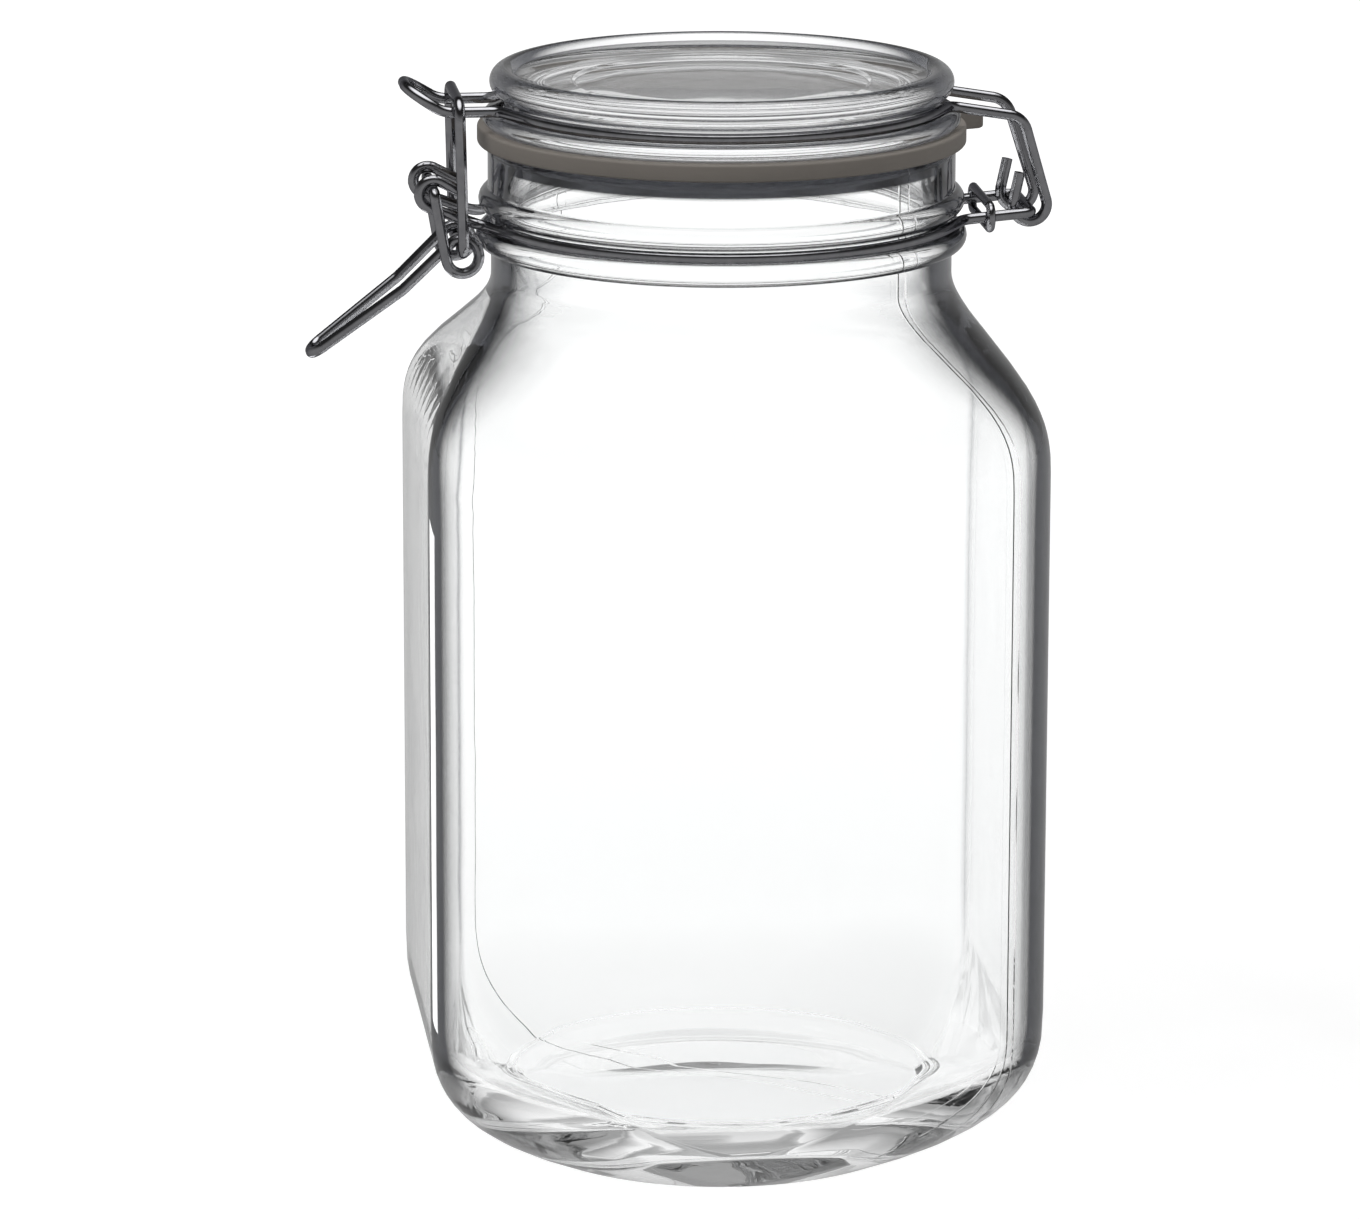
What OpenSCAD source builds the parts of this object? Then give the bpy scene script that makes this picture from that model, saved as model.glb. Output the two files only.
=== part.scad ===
// Clip-top glass canister: a square jar with a round neck, a hinged glass lid on a rubber seal,
// and a spring-wire closure with an over-centre lever.
// The origin is on the table under the centre of the base. +Z is up, +X points to the hinge,
// and -X points to the lever.

/* [Jar body] */
// Width of the square body across its flat sides
body_w = 124.4; // [116:0.2:136]
// Radius of the upright corners
corner_r = 31; // [22:0.5:40]
// Thickness of the glass side walls
wall = 3.6; // [2.5:0.1:5]
// Thickness of the glass in the middle of the base
base_t = 9.5; // [7:0.1:12]
// Radius of the round floor inside the jar
floor_r = 46.6; // [43:0.1:48]
// Height of the rounded heel
heel_h = 33; // [26:0.5:40]
// Radius of the circle where the heel meets the table
foot_r = 42; // [38:0.1:48]
// Width of the flat ring that the jar stands on
foot_w = 3.8; // [2.5:0.1:6]
// Depth of the hollow under the base
punt_h = 2.2; // [1:0.1:3]
// Height at which the straight sides end
body_h = 144; // [110:0.5:170]
// Height of the shoulder
shoulder_h = 36; // [30:0.5:46]

/* [Neck and mouth] */
// Outer radius of the plain neck
neck_r = 46.3; // [42:0.1:50]
// Thickness of the neck
neck_wall = 3.9; // [3.2:0.1:5]
// Height of the plain neck between the shoulder and the lower ring
plain_neck_h = 5.3; // [4:0.1:12]
// How far the band under the rim stands out from the neck
finish_out = 0.6; // [0.3:0.1:1]
// Rounding of the rim's outer edge
rim_edge_r = 2; // [1:0.1:2.4]
// How far the upper bead stands out from the neck
bead_out = 2.5; // [1.8:0.1:3]
// Radius of the upper bead's own rounding
bead_round = 2.4; // [2:0.1:2.5]
// Drop from the rim to the middle of the upper bead
bead_drop = 11.5; // [9:0.1:15]
// How far the lower ring stands out from the neck
ring_out = 3; // [2.2:0.1:3.4]
// Radius of the lower ring's own rounding
ring_round = 2.3; // [2:0.1:2.5]
// Gap between the neck wire and the bead above it or the ring below it
neck_groove_gap = 0.15; // [0.1:0.05:0.5]

/* [Lid] */
// How far the lid's lower flange stands out beyond the band under the rim
flange_out = 1; // [0.4:0.1:2]
// Thickness of the lower flange
flange_t = 3; // [2:0.1:3.6]
// How far the lid's rounded top rim stands back from the flange
lid_rim_back = 1.4; // [0.6:0.1:2]
// Radius of the top rim's own rounding
lid_rim_round = 2.9; // [2.6:0.1:3.4]
// Gap between the lid wire and the flange below it or the rim above it
lid_groove_gap = 0.3; // [0.2:0.05:0.8]
// Depth of the shallow recess in the top
recess_h = 2.8; // [1.5:0.1:3.4]
// Thickness of the glass plate in the middle of the lid
plate_t = 5.4; // [4:0.1:7]
// Radial gap between the lid's boss and the mouth
boss_gap = 0.7; // [0.6:0.05:1.2]
// How far the boss reaches down into the mouth
boss_drop = 2.2; // [1.5:0.1:2.6]
// How much narrower the boss is at its lower edge
boss_taper = 1.2; // [1:0.1:2]
// Width of the boss
boss_w = 3.6; // [2.5:0.1:5]

/* [Seal] */
// How far the rubber ring stands out beyond the band under the rim
seal_out = 2.1; // [1:0.1:3]
// Thickness of the rubber ring
seal_t = 3.5; // [2.5:0.1:4]
// Radial gap between the rubber ring and the boss
seal_gap = 0.2; // [0.1:0.05:0.4]
// Width of the pull tab
tab_w = 11; // [8:0.5:13]
// Length of the pull tab beyond the ring
tab_l = 6.4; // [4:0.1:7]
// Direction of the pull tab, turned back from the hinge side
tab_angle = 15; // [10:1:20]

/* [Wire] */
// Diameter of the closure wire
wire_d = 2.2; // [2:0.05:2.3]
// Gap between a wire and what it lies against
wire_gap = 0.1; // [0.05:0.01:0.15]
// Angle from the X axis at which the wires leave their grooves
leave_angle = 25; // [20:1:32]

/* [Lever side] */
// Distance of the eyelets beyond the neck
eyelet_out = 12.2; // [11:0.1:14]
// Height of the eyelets above the neck wire
eyelet_rise = 6.6; // [6:0.1:7]
// Radius of an eyelet to the middle of its wire
eyelet_r = 2.84; // [2.5:0.02:3.1]
// Distance of each eyelet from the middle plane
eyelet_y = 7.9; // [7.5:0.1:8.5]
// Length of an eyelet's free end
eyelet_tail = 5.2; // [3:0.1:6]
// Gap between wires that pass each other
pass_gap = 0.2; // [0.15:0.05:0.4]
// Reach of the lever's crank towards the neck
crank_x = 5.6; // [5.2:0.1:5.8]
// Drop of the lever's crank
crank_z = 13; // [12.4:0.1:14]
// Radius of the lever's loops to the middle of the wire
loop_r = 3.3; // [3.1:0.05:3.5]
// Reach of the handle from the pivot to its bend
bend_x = 6.2; // [5:0.1:8]
// Drop of the handle from the pivot to its bend
bend_z = 19.9; // [18:0.1:22]
// Reach of the handle from the pivot to its tip
tip_x = 24.2; // [20:0.1:30]
// Drop of the handle from the pivot to its tip
tip_z = 33.4; // [30:0.1:36]
// Width of the handle's tip between the middles of its wires
tip_w = 7; // [6:0.1:9]
// Length of nose beyond the bail's bar
nose_out = 10.7; // [9:0.1:12]
// Rise of the nose's tip
nose_rise = 4.5; // [3.6:0.1:5]
// Distance of each nose wire from the middle plane
nose_y = 8.5; // [8:0.1:9]

/* [Hinge side] */
// Distance of the hinge pin beyond the neck
pin_out = 15; // [14:0.1:17]
// Height of the hinge pin above the neck wire
pin_rise = 1.25; // [1:0.05:1.6]
// Distance of each side bar of the hinge loop from the middle plane
bar_y = 10.6; // [10:0.1:11.5]
// Distance of the knees of the lid wire inboard of the pin
knee_in = 2; // [1:0.1:3]
// Drop of the knees below the wire round the lid
knee_drop = 2.4; // [1.5:0.1:3]
// Radius of the hooks to the middle of the wire
hook_r = 3.4; // [3:0.05:3.6]
// Length of the hooks' free ends
hook_tail = 6; // [4:0.1:7]
// Diameter of the wire of the clip behind the neck
clip_wire_d = 1.8; // [1.5:0.05:2]
// Distance of the clip from the pin
clip_in = 8.5; // [7.5:0.1:9]

/* [Hidden] */
$fn = 96;
glass = [0.86, 0.92, 0.91, 0.4];
rubber = [0.74, 0.69, 0.62];
steel = [0.62, 0.62, 0.64];

// radii of the neck, the lid and the seal
mouth_r = neck_r - neck_wall;
finish_r = neck_r + finish_out;
bead_r = neck_r + bead_out;
ring_r = neck_r + ring_out;
flange_r = finish_r + flange_out;
lid_rim_r = flange_r - lid_rim_back;
seal_r = finish_r + seal_out;

// heights
wire_r = wire_d / 2;
ring_drop = bead_drop + bead_round + wire_d + 2 * neck_groove_gap + ring_round;
neck_h = ring_drop + ring_round + plain_neck_h;
lid_h = flange_t + wire_d + 2 * lid_groove_gap + 2 * lid_rim_round;
neck_z = body_h + shoulder_h;
rim_z = neck_z + neck_h;
seal_z = rim_z + seal_t;
lid_top_z = seal_z + lid_h;
neck_wire_z = rim_z - bead_drop - bead_round - neck_groove_gap - wire_r;
lid_wire_z = seal_z + flange_t + lid_groove_gap + wire_r;

// wires in their grooves
neck_wire_r = neck_r + wire_r + wire_gap;
lid_groove_r = lid_rim_r - lid_rim_round;
lid_wire_r = lid_groove_r + wire_r + wire_gap;

// lever side: the planes of the wires, from the eyelets outwards
lever_y = eyelet_y + wire_d + pass_gap;
bail_y = lever_y + wire_d + pass_gap;
eyelet_x = -neck_r - eyelet_out;
eyelet_z = neck_wire_z + eyelet_rise;
pivot_x = eyelet_x;
pivot_z = eyelet_z + eyelet_r - wire_d - wire_gap;
loop_x = pivot_x + crank_x;
loop_z = pivot_z - crank_z;
foot_z = loop_z + loop_r - wire_d - wire_gap;
bar_z = lid_wire_z + wire_d + wire_gap;

// hinge side
pin_x = neck_r + pin_out;
pin_z = neck_wire_z + pin_rise;
hook_y = bar_y - wire_d - pass_gap - wire_gap;
hook_z = pin_z + hook_r - wire_d - wire_gap;
knee_x = pin_x - knee_in;
knee_z = lid_wire_z - knee_drop;
clip_x = pin_x - clip_in;

// ---- vectors and wire paths -------------------------------------------------------------

function unit(v) = v / norm(v);
function mirrored(path) = [for (i = [len(path) - 1:-1:0]) [path[i][0], -path[i][1], path[i][2], path[i][3]]];
function point(p) = [p[0], p[1], p[2]];
function turn(u, v) = acos(max(-1, min(1, u * v)));

// Direction of travel, in the XZ plane, along the line from the point at (x, z) that touches a
// circle so that the circle then lies on the left of the path.
function onto_circle(x, z, cx, cz, r) = atan2(cz - z, cx - x) - asin(r / norm([cx - x, cz - z]));
// The same for the line that leaves the circle for the point at (x, z).
function off_circle(x, z, cx, cz, r) = atan2(z - cz, x - cx) + asin(r / norm([x - cx, z - cz]));

// Corners of a path that winds round a circle of radius r, from travel direction a0 to a1 in n
// steps. Each corner is [x, y, z, bend radius].
function wound(cx, cz, r, a0, a1, n, y0, y1) = [
    for (i = [0:n - 1])
        let (step = (a1 - a0) / n, a = a0 + step * (i + 0.5), far = r / cos(step / 2))
            [cx + far * sin(a), y0 + (y1 - y0) * i / max(1, n - 1), cz - far * cos(a), r]
];

// Corners of the half ring on the -Y side between the two leaving angles, from -X to +X.
ring_steps = 3;
function half_ring(r, z) = [
    for (i = [0:ring_steps - 1])
        let (step = (180 - 2 * leave_angle) / ring_steps, a = 180 + leave_angle + step * (i + 0.5))
            [r / cos(step / 2) * cos(a), r / cos(step / 2) * sin(a), z, r]
];
// X where the line that leaves a ring of radius r meets a straight wire at distance y
function leave_x(r, y) = r * cos(leave_angle) + (r * sin(leave_angle) - y) * tan(leave_angle);

// A round wire along a path of [x, y, z, bend radius]: straight rods and true bends. They end a
// little short of each other, inside a short sleeve a hair thicker than the wire.
joint_gap = 0.05;
sleeve_reach = 0.15;
sleeve_grow = 0.04;
module wire(path, d) {
    n = len(path);
    p = [for (q = path) point(q)];
    dir = [for (i = [0:n - 2]) unit(p[i + 1] - p[i])];
    trim = [for (i = [0:n - 1]) (i == 0 || i == n - 1) ? 0 : path[i][3] * tan(turn(dir[i - 1], dir[i]) / 2)];
    for (i = [0:n - 2]) {
        start = p[i] + dir[i] * trim[i];
        span = norm(p[i + 1] - p[i]) - trim[i] - trim[i + 1];
        first = i == 0 ? 0 : joint_gap;
        last = i == n - 2 ? 0 : joint_gap;
        if (span < 0.4) {
            sleeve(start, dir[i], max(0, span), d);
        } else {
            rod(start + dir[i] * first, dir[i], span - first - last, d);
            if (i > 0) sleeve(start, dir[i], 0, d);
            if (i < n - 2) sleeve(start + dir[i] * span, dir[i], 0, d);
        }
    }
    for (i = [1:n - 2]) bend(p[i] - dir[i - 1] * trim[i], dir[i - 1], dir[i], path[i][3], d);
}

// The sleeve that joins two lengths of wire
module sleeve(at, u, span, d) {
    rod(at - u * sleeve_reach, u, span + 2 * sleeve_reach, d + sleeve_grow);
}

// One straight rod from a point along a direction
module rod(start, u, span, d) {
    side = unit(abs(u[2]) < 0.9 ? cross(u, [0, 0, 1]) : cross(u, [1, 0, 0]));
    up = cross(u, side);
    place(side, up, u, start) cylinder(h = span, d = d);
}

// One bend of radius r that starts at a point in direction u and ends in direction v
module bend(start, u, v, r, d) {
    axis = unit(cross(u, v));
    out = cross(u, axis);
    short = asin(joint_gap / r);
    place(out, u, axis, start - out * r) rotate([0, 0, short])
        rotate_extrude(angle = turn(u, v) - 2 * short) translate([r, 0]) circle(d = d);
}

// Puts children in the frame with the given axes and origin
module place(a, b, c, o) {
    multmatrix([
        [a[0], b[0], c[0], o[0]],
        [a[1], b[1], c[1], o[1]],
        [a[2], b[2], c[2], o[2]],
        [0, 0, 0, 1]
    ]) children();
}

// ---- glass jar ---------------------------------------------------------------------------

corner_steps = 12;
heel_steps = 8;
shoulder_steps = 12;
// the shell's upper edge runs this far up inside the wall of the neck, and stays inside its faces
neck_lap = 1;
seam = 0.3;

// One level of the body: a square of half width h with corners of radius c, all corner points
function level(h, c, z) = [
    for (k = [0:3], j = [0:corner_steps - 1])
        let (a = 90 * k + 90 * (j + 0.5) / corner_steps, s = h - c)
            [
                s * (k == 0 || k == 3 ? 1 : -1) + c * cos(a),
                s * (k < 2 ? 1 : -1) + c * sin(a),
                z
            ]
];
// How far the heel has grown from the foot's radius (0) to the full width (1) at a share t of its
// height, and how far its corners have closed in from the circle (0) to their own radius (1)
function heel_width_share(t) = 1 - pow(1 - t, 2.4);
function heel_corner_share(t) = 1 - pow(1 - t, 2.55);
// The same in the shoulder, from full square at its foot to circle at the neck
function shoulder_share(t) = 0.5 + 0.5 * cos(180 * pow(t, 1.4));

// Levels of a body skin, from its foot circle up to its neck circle
function skin(half, corner, low_r, low_z, high_r) = concat(
    [
        for (i = [0:heel_steps])
            let (t = sin(90 * i / heel_steps), h = low_r + (half - low_r) * heel_width_share(t))
                level(h, h - (half - corner) * heel_corner_share(t), low_z + (heel_h - low_z) * t)
    ],
    [
        for (i = [0:shoulder_steps])
            let (t = i / shoulder_steps, w = shoulder_share(t))
                level(high_r + (half - high_r) * w, high_r + (corner - high_r) * w, body_h + shoulder_h * t)
    ],
    [level(high_r, high_r, neck_z + neck_lap)]
);

// The body of the jar below the neck, as one closed shell
module body_shell() {
    inner_top_r = (mouth_r + seam) / cos(45 / corner_steps);
    outer = skin(body_w / 2, corner_r, foot_r, 0, neck_r - seam);
    inner = skin(body_w / 2 - wall, corner_r - wall, floor_r, base_t, inner_top_r);
    m = 4 * corner_steps;
    n = len(outer);
    levels = concat(outer, [for (i = [n - 1:-1:0]) inner[i]]);
    points = [for (l = levels) each l];
    sides = [
        for (i = [0:2 * n - 2], j = [0:m - 1])
            let (a = i * m + j, b = i * m + (j + 1) % m)
                [a, a + m, b + m, b]
    ];
    under = [[for (j = [0:m - 1]) j]];
    inside = [[for (j = [m - 1:-1:0]) (2 * n - 1) * m + j]];
    polyhedron(points, concat(sides, under, inside), convexity = 6);
}

// Outline of the neck, rim, bead and ring, right of the axis
module neck_outline() {
    translate([mouth_r, neck_z]) square([neck_r - mouth_r, neck_h - rim_edge_r]);
    translate([mouth_r, rim_z - bead_drop]) square([finish_r - mouth_r, bead_drop - rim_edge_r]);
    translate([mouth_r, rim_z - 2 * rim_edge_r]) square([finish_r - mouth_r - rim_edge_r, 2 * rim_edge_r]);
    translate([finish_r - rim_edge_r, rim_z - rim_edge_r]) circle(r = rim_edge_r);
    translate([bead_r - bead_round, rim_z - bead_drop]) circle(r = bead_round);
    translate([ring_r - ring_round, rim_z - ring_drop]) circle(r = ring_round);
}

module glass_jar() {
    punt_r = foot_r - foot_w;
    color(glass) difference() {
        union() {
            body_shell();
            rotate_extrude() neck_outline();
        }
        // shallow cone-sided hollow under the base
        translate([0, 0, -punt_h]) cylinder(h = 2 * punt_h, r1 = punt_r + punt_h, r2 = punt_r - punt_h);
    }
}

// ---- glass lid and its seal --------------------------------------------------------------

boss_r = mouth_r - boss_gap;

module lid_outline() {
    floor_z = lid_top_z - recess_h;
    // plate and flange
    translate([0, floor_z - plate_t]) square([lid_groove_r, plate_t]);
    translate([boss_r - boss_w, seal_z]) square([lid_groove_r - boss_r + boss_w, floor_z - seal_z]);
    translate([boss_r - boss_w, seal_z]) square([flange_r - flange_t / 2 - boss_r + boss_w, flange_t]);
    translate([flange_r - flange_t / 2, seal_z + flange_t / 2]) circle(d = flange_t);
    // rounded top rim
    translate([lid_rim_r - lid_rim_round, lid_top_z - lid_rim_round]) circle(r = lid_rim_round);
    // tapered boss
    polygon([
        [boss_r - boss_w, rim_z - boss_drop],
        [boss_r - boss_taper, rim_z - boss_drop],
        [boss_r, rim_z],
        [boss_r, seal_z + flange_t / 2],
        [boss_r - boss_w, seal_z + flange_t / 2]
    ]);
}

module glass_lid() {
    color(glass) rotate_extrude() lid_outline();
}

module gasket() {
    tab_end = seal_r + tab_l;
    corner = 2.5;
    color(rubber) difference() {
        union() {
            translate([0, 0, rim_z]) cylinder(h = seal_t, r = seal_r);
            rotate([0, 0, tab_angle]) translate([0, 0, rim_z]) linear_extrude(seal_t) {
                translate([0, -tab_w / 2]) square([tab_end - corner, tab_w]);
                translate([0, corner - tab_w / 2]) square([tab_end, tab_w - 2 * corner]);
                for (s = [-1, 1]) translate([tab_end - corner, s * (tab_w / 2 - corner)]) circle(r = corner);
            }
        }
        translate([0, 0, rim_z - 1]) cylinder(h = seal_t + 2, r = boss_r + seal_gap);
    }
}

// ---- wire closure ------------------------------------------------------------------------

// The wire round the neck: an eyelet at each end, and a loop behind whose end is the hinge pin
module neck_wire() {
    out_x = leave_x(neck_wire_r, eyelet_y);
    a0 = 153;
    a1 = off_circle(-out_x, neck_wire_z, eyelet_x, eyelet_z, eyelet_r) + 360;
    back_x = leave_x(neck_wire_r, bar_y);
    tail = [
        eyelet_x + eyelet_r * sin(a0) - eyelet_tail * cos(a0),
        -eyelet_y,
        eyelet_z - eyelet_r * cos(a0) - eyelet_tail * sin(a0),
        0
    ];
    half = concat(
        [tail],
        wound(eyelet_x, eyelet_z, eyelet_r, a0, a1, 3, -eyelet_y, -eyelet_y),
        [[-out_x, -eyelet_y, neck_wire_z, 5]],
        half_ring(neck_wire_r, neck_wire_z),
        [[back_x, -bar_y, neck_wire_z, 3], [pin_x, -bar_y, pin_z, 1.6]]
    );
    color(steel) wire(concat(half, mirrored(half)), wire_d);
}

// The oval clip that holds the two side bars of the hinge loop together
module wire_clip() {
    y = bar_y + wire_r + clip_wire_d / 2 + wire_gap;
    z = neck_wire_z + pin_rise * (1 - clip_in / (pin_x - leave_x(neck_wire_r, bar_y)));
    r = wire_r + clip_wire_d / 2 + 3 * wire_gap;
    ends = y - r;
    color(steel) translate([clip_x, 0, z]) {
        for (s = [-1, 1]) {
            translate([0, ends, s * r]) rotate([90, 0, 0]) cylinder(h = 2 * ends, d = clip_wire_d);
            translate([0, s * ends, 0]) rotate([0, 90, 0]) rotate([0, 0, s > 0 ? 0 : 180])
                rotate_extrude(angle = 180) translate([r, 0]) circle(d = clip_wire_d);
        }
    }
}

// The wire round the lid: hooks under the hinge pin behind, and the turned-up nose in front
module lid_wire() {
    a0 = 258;
    a1 = off_circle(knee_x, knee_z, pin_x, hook_z, hook_r) + 360;
    back_x = leave_x(lid_wire_r, bar_y);
    front_x = leave_x(lid_wire_r, nose_y);
    nose_x = loop_x - nose_out;
    tail = [
        pin_x + hook_r * sin(a0) - hook_tail * cos(a0),
        -hook_y,
        hook_z - hook_r * cos(a0) - hook_tail * sin(a0),
        0
    ];
    half = concat(
        [tail],
        wound(pin_x, hook_z, hook_r, a0, a1, 3, -hook_y, -hook_y),
        [[knee_x, -bar_y, knee_z, 4.5], [back_x, -bar_y, lid_wire_z, 3]],
        [for (i = [ring_steps - 1:-1:0]) half_ring(lid_wire_r, lid_wire_z)[i]],
        [[-front_x, -nose_y, lid_wire_z, 3], [loop_x - 3.5, -nose_y, lid_wire_z, 7]],
        [[nose_x, -nose_y, lid_wire_z + nose_rise, nose_y - 2]]
    );
    color(steel) wire(concat(half, mirrored(half)), wire_d);
}

// The lever: pivot ends in the eyelets, a loop on each side for the bail, and the handle
module lever() {
    a0 = onto_circle(pivot_x, pivot_z, loop_x, loop_z, loop_r) + 360;
    bend_at = [pivot_x - bend_x, pivot_z - bend_z];
    a1 = off_circle(bend_at[0], bend_at[1], loop_x, loop_z, loop_r) + 720;
    inner_y = eyelet_y;
    bend_y = inner_y - 0.8;
    half = concat(
        [[pivot_x, -(eyelet_y - wire_d), pivot_z, 0], [pivot_x, -lever_y, pivot_z, 1.3]],
        wound(loop_x, loop_z, loop_r, a0, a1, 6, -lever_y, -inner_y),
        [[bend_at[0], -bend_y, bend_at[1], 8]],
        [[pivot_x - tip_x, -tip_w / 2, pivot_z - tip_z, tip_w / 2 - 0.3]]
    );
    color(steel) wire(concat(half, mirrored(half)), wire_d);
}

// The bail: its feet turn in the lever's loops and its bar pulls down on the nose
module bail() {
    half = [
        [loop_x, -(eyelet_y - wire_d), foot_z, 0],
        [loop_x, -bail_y, foot_z, 2],
        [loop_x - 0.7, -bail_y, bar_z, 3.5]
    ];
    color(steel) wire(concat(half, mirrored(half)), wire_d);
}

glass_jar();
neck_wire();
wire_clip();
glass_lid();
gasket();
lid_wire();
lever();
bail();
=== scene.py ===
# Looks of the clip-top glass canister: clear pressed glass, a natural rubber seal and bright
# steel wire, on a white floor. The pieces' lengths are in millimetres until mm() or new_piece()
# turns them into metres. The floor, the lamps and the camera are placed in metres.
import math

import bpy
from mathutils import Matrix, Vector


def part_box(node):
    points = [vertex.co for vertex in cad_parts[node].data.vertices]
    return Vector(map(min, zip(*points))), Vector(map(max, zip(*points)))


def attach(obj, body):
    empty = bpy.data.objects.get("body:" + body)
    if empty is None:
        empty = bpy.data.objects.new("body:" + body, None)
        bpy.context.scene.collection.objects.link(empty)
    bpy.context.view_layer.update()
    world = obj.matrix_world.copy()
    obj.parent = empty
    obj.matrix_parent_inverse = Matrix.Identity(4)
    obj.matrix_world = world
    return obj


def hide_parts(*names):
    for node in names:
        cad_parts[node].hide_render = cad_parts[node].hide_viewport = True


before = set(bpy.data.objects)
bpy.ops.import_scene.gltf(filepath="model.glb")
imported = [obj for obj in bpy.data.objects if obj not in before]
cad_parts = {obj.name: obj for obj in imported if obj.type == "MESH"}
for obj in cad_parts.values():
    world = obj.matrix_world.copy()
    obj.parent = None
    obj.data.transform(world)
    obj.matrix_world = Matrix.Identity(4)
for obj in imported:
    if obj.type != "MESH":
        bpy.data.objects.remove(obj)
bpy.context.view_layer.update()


def mm(value):
    return value / 1000


def box_mm(node):
    low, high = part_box(node)
    return low * 1000, high * 1000


# ---- main sizes, from the CAD nodes' boxes ------------------------------------------------

jar_high = box_mm("glass_jar")[1]
lid_low, lid_high = box_mm("glass_lid")
seal_low, seal_high = box_mm("gasket")

body_half = jar_high.y
rim_z = jar_high.z
seal_r = -seal_low.x
seal_z = seal_high.z
flange_r = lid_high.x
lid_top_z = lid_high.z
boss_z = lid_low.z

# ---- shape values that a box doesn't give -------------------------------------------------

# body of the jar
corner_r = 31
wall = 3.6
base_t = 9.5
heel_h = 33
heel_power = 2.4  # the higher, the squarer the heel
corner_power = 2.55  # the same for the way the corners' radius changes up the heel
body_h = 144
shoulder_h = 36
shoulder_power = 1.4  # above 1, the shoulder keeps the body's width for longer

# underside and floor of the jar
foot_r = 42
foot_w = 3.8
foot_edge = 1
punt_h = 2.2
floor_r = 46.6
floor_rise = 1.6  # of the visible floor, above the solid's
floor_rings = ((45.8, 0), (45.2, 0.9), (44.6, 0), (43.9, 0), (43.4, 0.5), (42.9, 0))
jar_inmost_r = 2

# neck of the jar; a bead or rim is (radius of its centre, height of its centre, its own radius)
neck_z = body_h + shoulder_h
neck_r = 46.3
finish_r = 46.9
mouth_r = 42.4
mouth_edge_r = 1
rim_edge_r = 2
bead = (46.4, rim_z - 11.5, 2.4)
ring = (47.0, rim_z - 18.7, 2.3)

# lid; its sunk top is (radius, rise above the floor of the well)
flange_t = 3
lid_rim = (43.6, lid_top_z - 2.9, 2.9)
lid_floor_z = lid_top_z - 2.8
lid_well = ((37.2, 0.35), (35.4, 0), (30, 0), (29.3, -0.6), (1, -0.6))
plate_t = 5.4
plate_slope = 1.5
boss_r = 41.7
boss_w = 3.6
boss_taper = 1.2

# seal
seal_inner_r = 41.9
seal_edge_r = 0.5
tab_w = 11
tab_end_r = 55.4
tab_angle = 15
tab_corner_r = 2.5
tab_fillet = 3

# reach over which the edges of pressed glass are rounded
jar_softness = 0.7
lid_softness = 0.4

# ---- curve helpers ------------------------------------------------------------------------


def arc(centre_r, centre_z, radius, start, end, steps):
    """Points of an arc in the (radius, height) plane, between two angles in degrees."""
    found = []
    for i in range(steps + 1):
        a = math.radians(start + (end - start) * i / steps)
        found.append((centre_r + radius * math.cos(a), centre_z + radius * math.sin(a)))
    return found


def resampled(path, step):
    """The same path with a point about every step."""
    found = [Vector(path[0])]
    for a, b in zip(path, path[1:]):
        a, b = Vector(a), Vector(b)
        n = max(1, math.ceil((b - a).length / step))
        found += [a.lerp(b, i / n) for i in range(1, n + 1)]
    return found


def softened(path, reach, step=0.2):
    """The path with every corner rounded over about reach."""
    fine = resampled(path, step)
    width = round(reach / step)
    weights = [math.exp(-2 * (k / width) ** 2) for k in range(-width, width + 1)]
    total = sum(weights)
    found = []
    for i in range(len(fine)):
        if i < width or i >= len(fine) - width:
            found.append(fine[i])
            continue
        near = fine[i - width : i + width + 1]
        found.append(sum((p * w for p, w in zip(near, weights)), fine[0] * 0) / total)
    return found


def thinned(path, turn=3.0, gap=6.0):
    """The path without the points that a smooth surface doesn't need."""
    found = [path[0]]
    for i in range(1, len(path) - 1):
        back, on = path[i] - found[-1], path[i + 1] - path[i]
        if back.length < 1e-6 or on.length < 1e-6:
            continue
        if math.degrees(back.angle(on)) > turn or back.length > gap:
            found.append(path[i])
    return found + [path[-1]]


# ---- object and mesh helpers --------------------------------------------------------------


def new_object(name, data):
    thing = bpy.data.objects.new(name, data)
    bpy.context.scene.collection.objects.link(thing)
    return thing


def new_mesh(name, points, faces):
    mesh = bpy.data.meshes.new(name)
    mesh.from_pydata(points, [], faces)
    return mesh


def new_piece(name, points, faces, body, material, cad_node):
    """A smooth mesh piece from points in millimetres, on its CAD body in its CAD node's place."""
    mesh = new_mesh(name, [Vector(p) / 1000 for p in points], faces)
    mesh.validate()
    mesh.shade_smooth()
    piece = new_object(name, mesh)
    piece.data.materials.append(material)
    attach(piece, body)
    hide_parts(cad_node)
    return piece


def skinned(rows):
    """Faces that join equal closed rows of points, with a fan to one point at each end."""
    n = len(rows[0])
    points = [p for row in rows for p in row]
    faces = []
    for i in range(len(rows) - 1):
        for j in range(n):
            k = (j + 1) % n
            faces.append((i * n + j, i * n + k, (i + 1) * n + k, (i + 1) * n + j))
    for row, flip in ((0, True), (len(rows) - 1, False)):
        centre = sum((Vector(p) for p in rows[row]), Vector()) / n
        points.append(centre)
        for j in range(n):
            k = (j + 1) % n
            fan = (row * n + j, row * n + k, len(points) - 1)
            faces.append(fan[::-1] if flip else fan)
    return points, faces


def ring_skinned(rows):
    """Faces of a closed ring whose section is the rows in turn."""
    n, m = len(rows[0]), len(rows)
    faces = []
    for i in range(m):
        for j in range(n):
            i2, j2 = (i + 1) % m, (j + 1) % n
            faces.append((i * n + j, i * n + j2, i2 * n + j2, i2 * n + j))
    return [p for row in rows for p in row], faces


# ---- glass jar ----------------------------------------------------------------------------

CORNER_STEPS = 24
SKIN_STEPS = 40
PUNT_STEP = 2


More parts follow.
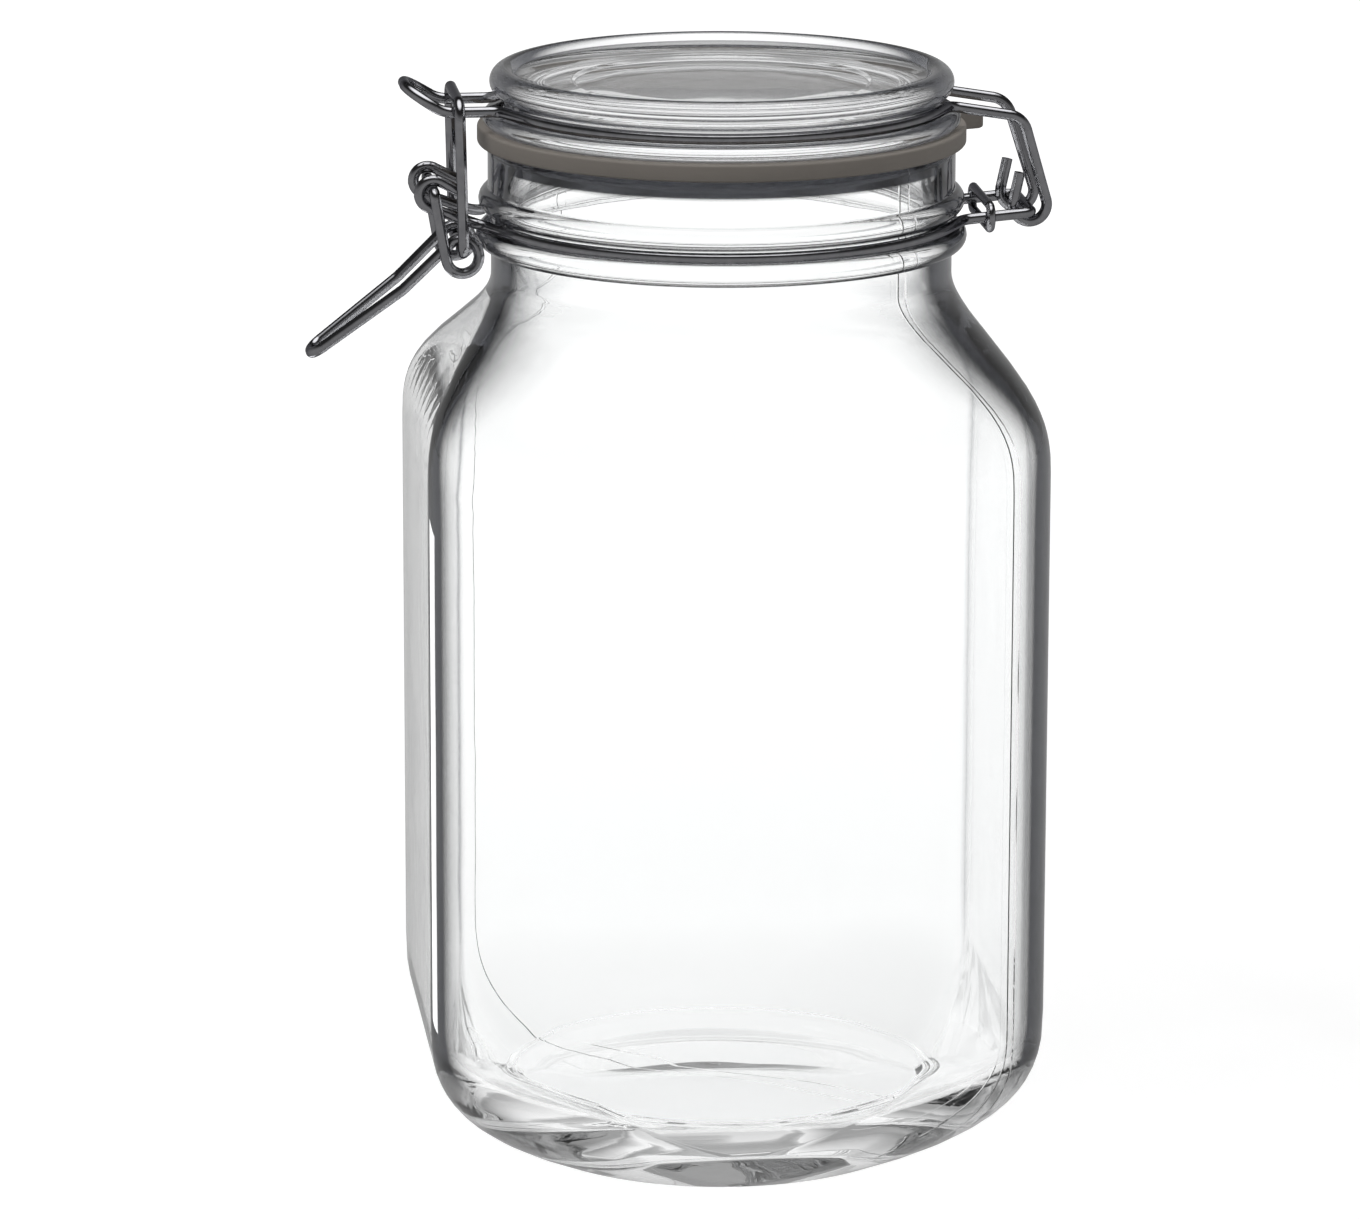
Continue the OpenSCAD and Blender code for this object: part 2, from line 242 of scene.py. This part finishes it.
def level(half, corner, z):
    """One row of the jar: a square of half width half with corners of radius corner."""
    side = half - corner
    found = []
    for k in range(4):
        sx = side if k in (0, 3) else -side
        sy = side if k < 2 else -side
        for j in range(CORNER_STEPS):
            a = math.radians(90 * k + 90 * (j + 0.5) / CORNER_STEPS)
            found.append((sx + corner * math.cos(a), sy + corner * math.sin(a), z))
    return found


def body_skin(half, corner, low_r, low_z, high_r):
    """(half width, corner radius, height) up one skin of the body, from foot to neck."""
    found = []
    for i in range(SKIN_STEPS + 1):
        t = math.sin(math.radians(90 * i / SKIN_STEPS))
        h = low_r + (half - low_r) * (1 - (1 - t) ** heel_power)
        c = h - (half - corner) * (1 - (1 - t) ** corner_power)
        found.append((h, c, low_z + (heel_h - low_z) * t))
    for i in range(SKIN_STEPS + 1):
        t = i / SKIN_STEPS
        w = 0.5 + 0.5 * math.cos(math.radians(180 * t**shoulder_power))
        h = high_r + (half - high_r) * w
        c = high_r + (corner - high_r) * w
        found.append((h, c, body_h + shoulder_h * t))
    return found


def jar_rows():
    """Rows from under the foot up the outside and down the inside, and where the inside starts."""
    punt_r = foot_r - foot_w
    floor_z = base_t + floor_rise
    ring_meets = math.degrees(math.acos((neck_r - ring[0]) / ring[2]))
    bead_meets = math.degrees(math.acos((neck_r - bead[0]) / bead[2]))
    bead_leaves = math.degrees(math.acos((finish_r - bead[0]) / bead[2]))
    neck = [(neck_r, neck_z)]
    neck += arc(*ring, -ring_meets, ring_meets, 20)
    neck += arc(*bead, -bead_meets, bead_leaves, 20)
    neck += arc(finish_r - rim_edge_r, rim_z - rim_edge_r, rim_edge_r, 0, 90, 10)
    neck += arc(mouth_r + mouth_edge_r, rim_z - mouth_edge_r, mouth_edge_r, 90, 180, 6)
    neck += [(mouth_r, neck_z)]
    path = []
    for r in range(jar_inmost_r, math.ceil(punt_r), PUNT_STEP):
        path.append((r, r, punt_h * (0.5 + 0.5 * math.cos(math.pi * r / punt_r))))
    path += [(punt_r, punt_r, 0), (foot_r - foot_edge, foot_r - foot_edge, 0)]
    path += body_skin(body_half, corner_r, foot_r, 0, neck_r)
    path += [(r, r, z) for r, z in neck]
    path += reversed(body_skin(body_half - wall, corner_r - wall, floor_r, floor_z, mouth_r))
    path += [(r, r, floor_z + rise) for r, rise in (*floor_rings, (jar_inmost_r, 0))]
    path = thinned(softened(path, jar_softness))
    inside = max(i for i, p in enumerate(path) if p.z > rim_z - mouth_edge_r)
    return [level(*p) for p in path], inside


# ---- glass lid ----------------------------------------------------------------------------


def turned(profile, steps=160):
    """Rows of a solid of revolution, from a profile of (radius, height)."""
    rows = []
    for r, z in profile:
        around = [math.radians(360 * j / steps) for j in range(steps)]
        rows.append([(r * math.cos(a), r * math.sin(a), z) for a in around])
    return rows


def lid_profile():
    """From the middle of the underside, over the flange and the rim, to the middle of the top."""
    plate_z = lid_floor_z - plate_t
    hollow_r = boss_r - boss_w
    lid_inmost_r = lid_well[-1][0]
    path = [(lid_inmost_r, plate_z), (hollow_r - plate_slope, plate_z)]
    path += [(hollow_r, plate_z - plate_slope), (hollow_r, boss_z)]
    path += [(boss_r - boss_taper, boss_z), (boss_r, rim_z), (boss_r, seal_z)]
    path += arc(flange_r - flange_t / 2, seal_z + flange_t / 2, flange_t / 2, -90, 90, 14)
    path += [(lid_rim[0], seal_z + flange_t)]
    path += arc(*lid_rim, -90, 150, 30)
    path += [(r, lid_floor_z + rise) for r, rise in lid_well]
    return thinned(softened(path, lid_softness))


# ---- rubber seal --------------------------------------------------------------------------

SEAL_STEPS = 360
SEAL_CORNER_STEPS = 4
TAB_REACH = 0.3  # radians on each side of the tab's middle line, well past the tab
FILLET_SHARE = 0.5  # of the tab's length, where its fillets meet its sides


def seal_outer(a):
    """Distance from the axis to the seal's outer edge, at angle a from the tab's middle line."""
    half = tab_w / 2
    a = (a + math.pi) % (2 * math.pi) - math.pi
    if abs(a) > TAB_REACH:
        return seal_r
    y = seal_r * math.sin(abs(a))
    if y > half + tab_fillet:
        return seal_r
    if y > half:
        share = (half + tab_fillet - y) / tab_fillet
        return seal_r + (tab_end_r - seal_r) * share**4 * FILLET_SHARE
    inset = max(0, y - (half - tab_corner_r))
    drop = tab_corner_r - math.sqrt(max(0, tab_corner_r**2 - inset**2))
    return (tab_end_r - drop) / math.cos(a)


def seal_rows():
    """The seal with its pull tab: one closed row of points for each step round its section."""
    low, high = seal_low.z + seal_edge_r, seal_high.z - seal_edge_r
    section = []
    # the section's four rounded corners: on the outer side or not, height, first angle
    for out, z, start in ((False, low, 180), (True, low, 270), (True, high, 0), (False, high, 90)):
        for i in range(SEAL_CORNER_STEPS + 1):
            a = math.radians(start + 90 * i / SEAL_CORNER_STEPS)
            section.append((out, seal_edge_r * math.cos(a), z + seal_edge_r * math.sin(a)))
    rows = []
    for out, shift, z in section:
        row = []
        for j in range(SEAL_STEPS):
            a = 2 * math.pi * j / SEAL_STEPS
            if out:
                r = seal_outer(a - math.radians(tab_angle)) - seal_edge_r + shift
            else:
                r = seal_inner_r + seal_edge_r + shift
            row.append((r * math.cos(a), r * math.sin(a), z))
        rows.append(row)
    return rows


# ---- node helpers -------------------------------------------------------------------------

# a Mix node's sockets for colours, which by name can't be told from those for numbers
MIX_FACTOR, MIX_A, MIX_B, MIX_COLOUR = 0, 6, 7, 2


def new_material(name):
    """A new material, its node tree and its shader."""
    material = bpy.data.materials.new(name)
    material.use_nodes = True
    return material, material.node_tree, material.node_tree.nodes["Principled BSDF"]


def add(tree, kind, **values):
    """A new node with some of its inputs set."""
    node = tree.nodes.new(kind)
    for name, value in values.items():
        node.inputs[name.replace("_", " ")].default_value = value
    return node


def feed(tree, socket, value):
    """Sets a socket to a number or links it to an output. None leaves it as it is."""
    if isinstance(value, (int, float)):
        socket.default_value = value
    elif value is not None:
        tree.links.new(value, socket)


def math_node(tree, operation, a, b=None):
    node = tree.nodes.new("ShaderNodeMath")
    node.operation = operation
    feed(tree, node.inputs[0], a)
    feed(tree, node.inputs[1], b)
    return node.outputs[0]


def mapped(tree, value, start, end, low=0, high=1, interpolation="LINEAR"):
    """The value brought from start..end to low..high, and held at those ends."""
    node = add(tree, "ShaderNodeMapRange", From_Min=start, From_Max=end, To_Min=low, To_Max=high)
    node.interpolation_type = interpolation
    tree.links.new(value, node.inputs["Value"])
    return node.outputs["Result"]


def either(tree, factor, a, b):
    """The number a where factor is 0, and b where it is 1."""
    node = tree.nodes.new("ShaderNodeMix")
    tree.links.new(factor, node.inputs["Factor"])
    feed(tree, node.inputs["A"], a)
    feed(tree, node.inputs["B"], b)
    return node.outputs["Result"]


def blend(tree, factor, a, b):
    """The colour a where factor is 0, and b where it is 1."""
    node = tree.nodes.new("ShaderNodeMix")
    node.data_type = "RGBA"
    node.inputs[MIX_A].default_value = (*a, 1)
    node.inputs[MIX_B].default_value = (*b, 1)
    tree.links.new(factor, node.inputs[MIX_FACTOR])
    return node.outputs[MIX_COLOUR]


def coordinates(tree, kind):
    return tree.nodes.new("ShaderNodeTexCoord").outputs[kind]


def parts(tree, vector):
    """The X, Y and Z of a vector."""
    split = tree.nodes.new("ShaderNodeSeparateXYZ")
    tree.links.new(vector, split.inputs[0])
    return [split.outputs[axis] for axis in "XYZ"]


def noise(tree, place, scale, detail, roughness=0.5):
    node = add(tree, "ShaderNodeTexNoise", Scale=scale, Detail=detail, Roughness=roughness)
    tree.links.new(place, node.inputs["Vector"])
    return node.outputs["Fac"]


def set_bump(tree, shader, height, strength, distance):
    bump = add(tree, "ShaderNodeBump", Strength=strength, Distance=distance)
    tree.links.new(height, bump.inputs["Height"])
    tree.links.new(bump.outputs["Normal"], shader.inputs["Normal"])


# ---- materials ----------------------------------------------------------------------------

# Glass colours: clear, and for each glass a painted shade colour that greys it towards its edges,
# standing in for the dark surroundings that the edges show.
CLEAR = (0.985, 0.99, 0.99)
JAR_PAINTED_SHADE = (0.003, 0.0032, 0.004)
INSIDE_PAINTED_SHADE = (0.16, 0.165, 0.18)
LID_CLEAR = (0.95, 0.955, 0.96)
LID_PAINTED_SHADE = (0.02, 0.021, 0.025)
STEEL_TONES = ((0.24, 0.24, 0.255), (0.42, 0.42, 0.435))
STEEL_SHEEN = (0.35, 0.35, 0.37)
STEEL_ROUGHNESS = (0.08, 0.2)
RUBBER_TONES = ((0.225, 0.203, 0.182), (0.275, 0.248, 0.222))

GLASS_IOR = 1.5
FLAT_SIDES = (0.996, 0.9995)  # how squarely a surface faces along X or Y, to count as flat
FLAT_LOSS = 0.8  # share of the grey that a flat side loses
NECK_MARGIN = 4  # below the neck, where the flat sides end
# painted shade: the seal's shadow on the rim is painted as full grey in the glass, from this far
# below the rim
SHADE_DROP = 4.2  # of the seal's shade below the rim
SHADE_FADE = 0.8
NO_SHADE = 500  # a height above all the glass
SEAM_WIDTH = 0.35


def painted_edge_shade(tree, place, band, calm, shaded_from):
    """How much painted shade greys the glass, from 0 to 1. See glass_material for band, calm and
    shaded_from.
    """
    x, y, z = parts(tree, place)
    # painted shade: the glass greys where its surface turns away from the view
    facing = add(tree, "ShaderNodeLayerWeight", Blend=0.5).outputs["Facing"]
    share = mapped(tree, facing, *band, interpolation="SMOOTHSTEP")
    kind, full_at, calm_at, least = calm
    squares = [math_node(tree, "POWER", axis, 2) for axis in (x, y)]
    from_axis = math_node(tree, "SQRT", math_node(tree, "ADD", *squares))
    along = z if kind == "Z" else from_axis
    fade = mapped(tree, along, mm(full_at), mm(calm_at), 1, least)
    grey = math_node(tree, "MULTIPLY", share, fade)

    # the four flat sides of the body keep less of the painted shade than its corners
    nx, ny, nz = parts(tree, coordinates(tree, "Normal"))
    largest = math_node(tree, "MAXIMUM", *[math_node(tree, "ABSOLUTE", n) for n in (nx, ny)])
    sideways = math_node(tree, "SUBTRACT", 1, math_node(tree, "POWER", nz, 2))
    squareness = math_node(tree, "DIVIDE", largest, math_node(tree, "SQRT", sideways))
    on_body = math_node(tree, "LESS_THAN", z, mm(neck_z - NECK_MARGIN))
    flat = math_node(tree, "MULTIPLY", mapped(tree, squareness, *FLAT_SIDES), on_body)
    loss = math_node(tree, "MULTIPLY", flat, FLAT_LOSS)
    grey = math_node(tree, "MULTIPLY", grey, math_node(tree, "SUBTRACT", 1, loss))

    # painted shade of the seal: full grey above shaded_from
    shade = mapped(tree, z, mm(shaded_from), mm(shaded_from + SHADE_FADE))
    return math_node(tree, "MAXIMUM", grey, shade)


def ridge(tree, distance, width):
    """1 where distance is nothing, falling to 0 at width."""
    away = math_node(tree, "DIVIDE", math_node(tree, "ABSOLUTE", distance), mm(width))
    return math_node(tree, "MAXIMUM", math_node(tree, "SUBTRACT", 1, away), 0)


def pressed_height(tree, place, seam_height, wave_height):
    """Slow waves of pressed glass, and a fine ridge in the plane of the mould's seam."""
    waves = noise(tree, place, 38, 1.5, 0.4)
    across = tree.nodes.new("ShaderNodeVectorMath")
    across.operation = "DOT_PRODUCT"
    across.inputs[1].default_value = (math.sqrt(0.5), math.sqrt(0.5), 0)
    tree.links.new(place, across.inputs[0])
    seam = ridge(tree, across.outputs["Value"], SEAM_WIDTH)
    waves = math_node(tree, "MULTIPLY", waves, mm(wave_height))
    return math_node(tree, "ADD", waves, math_node(tree, "MULTIPLY", seam, mm(seam_height)))


def glass_material(name, clear, edge_shade, band, calm, seam_height, wave_height, shaded_from=NO_SHADE):
    """Clear glass with painted shade towards its edges, with the mould's seam and slight waves.

    The painted shade stands in for the dark surroundings that the glass shows at its edges. It
    comes in over band, as Layer Weight's Facing. It fades to calm's last value over a stretch of
    height ("Z") or of distance from the axis ("R"), both in millimetres. Above shaded_from the
    painted shade is full, standing in for the seal's shadow on the rim.
    """
    material, tree, shader = new_material(name)
    shader.inputs["Transmission Weight"].default_value = 1
    shader.inputs["Roughness"].default_value = 0
    shader.inputs["IOR"].default_value = GLASS_IOR
    place = coordinates(tree, "Object")
    grey = painted_edge_shade(tree, place, band, calm, shaded_from)
    # the painted shade is mixed into the glass's colour
    tree.links.new(blend(tree, grey, clear, edge_shade), shader.inputs["Base Color"])
    set_bump(tree, shader, pressed_height(tree, place, seam_height, wave_height), 1, 1)
    return material


def steel_material():
    """Bright drawn steel wire."""
    material, tree, shader = new_material("wire_steel")
    shader.inputs["Metallic"].default_value = 1
    shader.inputs["Specular Tint"].default_value = (*STEEL_SHEEN, 1)
    grain = noise(tree, coordinates(tree, "Object"), 420, 3, 0.6)
    tree.links.new(blend(tree, grain, *STEEL_TONES), shader.inputs["Base Color"])
    tree.links.new(mapped(tree, grain, 0, 1, *STEEL_ROUGHNESS), shader.inputs["Roughness"])
    return material


def rubber_material():
    """Matt beige-grey natural rubber."""
    material, tree, shader = new_material("seal_rubber")
    shader.inputs["Roughness"].default_value = 0.55
    place = coordinates(tree, "Object")
    cloud = noise(tree, place, 90, 4, 0.6)
    tree.links.new(blend(tree, cloud, *RUBBER_TONES), shader.inputs["Base Color"])
    set_bump(tree, shader, noise(tree, place, 1400, 2), 0.25, mm(0.05))
    return material


# ---- floor, world, lamps, camera ----------------------------------------------------------

WHITE = 1.0  # what the camera sees behind the jar, and glass at the horizon
DOME = 0.35  # overhead, as glass shows it
MIRRORED = 0.36  # floor and horizon, as reflections show them
HIGH_WALLS = 0.04  # well above the horizon, as reflections show it
OVERHEAD = 2.6  # straight above, as reflections show it
AMBIENT = 0.35  # all round, for matt surfaces

FLOOR_SIZE = 6
FLOOR_TONE = 0.8
FLOOR_DROP = 0.02
LAMP_AIM = (0, 0, 0.12)


def ray_kind(tree, kind):
    return tree.nodes.new("ShaderNodeLightPath").outputs[kind]


def make_floor():
    """A white floor just under the jar. Reflections show it darker."""
    material, tree, shader = new_material("floor_white")
    mirrored = ray_kind(tree, "Is Reflection Ray")
    tone = blend(tree, mirrored, [FLOOR_TONE] * 3, [FLOOR_TONE * MIRRORED] * 3)
    tree.links.new(tone, shader.inputs["Base Color"])
    shader.inputs["Roughness"].default_value = 0.9
    shader.inputs["Specular IOR Level"].default_value = 0
    shader.inputs["Emission Color"].default_value = (1, 1, 1, 1)
    # far from the lamps the floor needs more of its own white
    far = tree.nodes.new("ShaderNodeVectorMath")
    far.operation = "LENGTH"
    tree.links.new(coordinates(tree, "Object"), far.inputs[0])
    glow = mapped(tree, far.outputs["Value"], 0.2, 1.6, 0.42, 0.74)
    # only rays from the camera see it, also by way of metal and glass
    seen = ray_kind(tree, "Is Camera Ray")
    for kind in ("Is Glossy Ray", "Is Transmission Ray"):
        seen = math_node(tree, "MAXIMUM", seen, ray_kind(tree, kind))
    loss = math_node(tree, "MULTIPLY", mirrored, 1 - MIRRORED)
    dimmed = math_node(tree, "SUBTRACT", 1, loss)
    lift = math_node(tree, "MULTIPLY", math_node(tree, "MULTIPLY", seen, glow), dimmed)
    tree.links.new(lift, shader.inputs["Emission Strength"])

    size = FLOOR_SIZE
    corners = [(-size, -size, 0), (size, -size, 0), (size, size, 0), (-size, size, 0)]
    floor = new_object("floor", new_mesh("floor", corners, [(0, 1, 2, 3)]))
    floor.location.z = mm(-FLOOR_DROP)
    floor.data.materials.append(material)


def make_world():
    """White to the camera; other rays see a studio.

    Glass shows a white horizon under a greyer dome. Reflections show grey walls, dark higher up,
    and a bright field straight above. Matt surfaces are lit by an even grey.
    """
    world = bpy.data.worlds.new("studio")
    bpy.context.scene.world = world
    world.use_nodes = True
    tree = world.node_tree
    upward = parts(tree, coordinates(tree, "Generated"))[2]
    dome = mapped(tree, upward, 0.12, 0.55, WHITE, DOME)
    walls = mapped(tree, upward, 0.12, 0.5, MIRRORED, HIGH_WALLS)
    overhead = mapped(tree, upward, 0.8, 0.93, 0, OVERHEAD)
    mirrored = math_node(tree, "ADD", walls, overhead)
    strength = either(tree, ray_kind(tree, "Is Reflection Ray"), dome, mirrored)
    strength = either(tree, ray_kind(tree, "Is Diffuse Ray"), strength, AMBIENT)
    strength = either(tree, ray_kind(tree, "Is Camera Ray"), strength, WHITE)
    background = tree.nodes["Background"]
    background.inputs["Color"].default_value = (1, 1, 1, 1)
    tree.links.new(strength, background.inputs["Strength"])


def make_lamp(name, at, size, power):
    """A rectangular lamp aimed at the jar, which doesn't show in glass or metal."""
    lamp = bpy.data.lights.new(name, "AREA")
    lamp.shape = "RECTANGLE"
    lamp.size, lamp.size_y = size
    lamp.energy = power
    holder = new_object(name, lamp)
    holder.location = at
    aim = Vector(LAMP_AIM) - Vector(at)
    holder.rotation_euler = aim.to_track_quat("-Z", "Y").to_euler()
    holder.visible_glossy = False
    holder.visible_transmission = False


def make_strip(name, at, width, height, strength):
    """An upright strip light on the floor, facing the jar, that only mirrors in glass and metal."""
    toward = Vector((-at[0], -at[1], 0)).normalized()
    along = Vector((-toward.y, toward.x, 0)) * width / 2
    foot = Vector((at[0], at[1], 0))
    top = Vector((0, 0, height))
    corners = [foot - along, foot + along, foot + along + top, foot - along + top]
    strip = new_object(name, new_mesh(name, corners, [(0, 1, 2, 3)]))
    material, tree, shader = new_material(name)
    shader.inputs["Base Color"].default_value = (0, 0, 0, 1)
    shader.inputs["Emission Color"].default_value = (1, 1, 1, 1)
    shader.inputs["Emission Strength"].default_value = strength
    strip.data.materials.append(material)
    strip.visible_camera = False
    strip.visible_diffuse = False
    strip.visible_transmission = False
    strip.visible_shadow = False


def make_camera():
    """Long lens from the front, a little above and turned slightly towards the lever."""
    distance = 1.411
    height = 0.452
    turn = math.radians(6.8)
    look_down = math.radians(13.643)
    look_left = math.radians(0.321)
    roll = math.radians(0.2)
    up = Vector((0, 0, 1))
    right = Vector((math.cos(turn), -math.sin(turn), 0))
    away = Vector((math.sin(turn), math.cos(turn), 0))
    forward = away * math.cos(look_down) - up * math.sin(look_down)
    above = up * math.cos(look_down) + away * math.sin(look_down)
    side = right * math.cos(roll) + above * math.sin(roll)
    top = above * math.cos(roll) - right * math.sin(roll)
    swung = forward * math.cos(look_left) - side * math.sin(look_left)
    side = side * math.cos(look_left) + forward * math.sin(look_left)
    camera = bpy.data.cameras.new("camera")
    camera.sensor_width = 36
    camera.lens = 188.9
    camera.clip_start = 0.05
    camera.clip_end = 50
    holder = new_object("camera", camera)
    at = up * height - away * distance
    turned_to = Matrix((side, top, -swung)).transposed().to_4x4()
    holder.matrix_world = Matrix.Translation(at) @ turned_to
    bpy.context.scene.camera = holder


def render_settings():
    scene = bpy.context.scene
    scene.view_settings.view_transform = "Standard"
    # light goes to and fro many times in the thick base before it leaves the glass
    scene.cycles.max_bounces = 64
    scene.cycles.transmission_bounces = 48
    scene.cycles.glossy_bounces = 48


# ---- the object ---------------------------------------------------------------------------

jar_glass = glass_material(
    "jar_glass",
    CLEAR,
    JAR_PAINTED_SHADE,
    band=(0.34, 0.6),
    calm=("Z", 26, 6, 0.3),
    seam_height=0.12,
    wave_height=0.1,
    shaded_from=rim_z - SHADE_DROP,
)
inside_glass = glass_material(
    "jar_inside",
    CLEAR,
    INSIDE_PAINTED_SHADE,
    band=(0.55, 0.85),
    calm=("Z", 34, 16, 0),
    seam_height=0.12,
    wave_height=0.1,
)
lid_glass = glass_material(
    "lid_glass",
    LID_CLEAR,
    LID_PAINTED_SHADE,
    band=(0.26, 0.62),
    calm=("R", 41, 36, 0.08),
    seam_height=0,
    wave_height=0.07,
)
steel = steel_material()
rubber = rubber_material()

rows, inside = jar_rows()
points, faces = skinned(rows)
jar = new_piece("jar_glass", points, faces, "jar", jar_glass, "glass_jar")
jar.data.materials.append(inside_glass)
first_inside = inside * len(rows[0])
for face in jar.data.polygons:
    if min(face.vertices) >= first_inside:
        face.material_index = 1
points, faces = skinned(turned(lid_profile()))
lid = new_piece("lid_glass", points, faces, "lid", lid_glass, "glass_lid")
points, faces = ring_skinned(seal_rows())
new_piece("rubber_seal", points, faces, "lid", rubber, "gasket")
for piece in (jar, lid):
    piece.visible_shadow = False

for name in ("neck_wire", "wire_clip", "lid_wire", "lever", "bail"):
    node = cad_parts[name]
    node.data.materials.clear()
    node.data.materials.append(steel)
    node.data.shade_smooth()

make_floor()
make_world()
make_lamp("key", (-0.7, -0.3, 1.3), size=(0.5, 0.5), power=6.5)
make_lamp("fill", (0.9, -0.9, 0.8), size=(0.2, 0.8), power=2.2)
make_lamp("back", (0.2, 0.9, 1.2), size=(0.9, 0.3), power=4)
make_strip("strip", (-0.108, 0.058), width=0.03, height=0.112, strength=4.5)
make_camera()
render_settings()
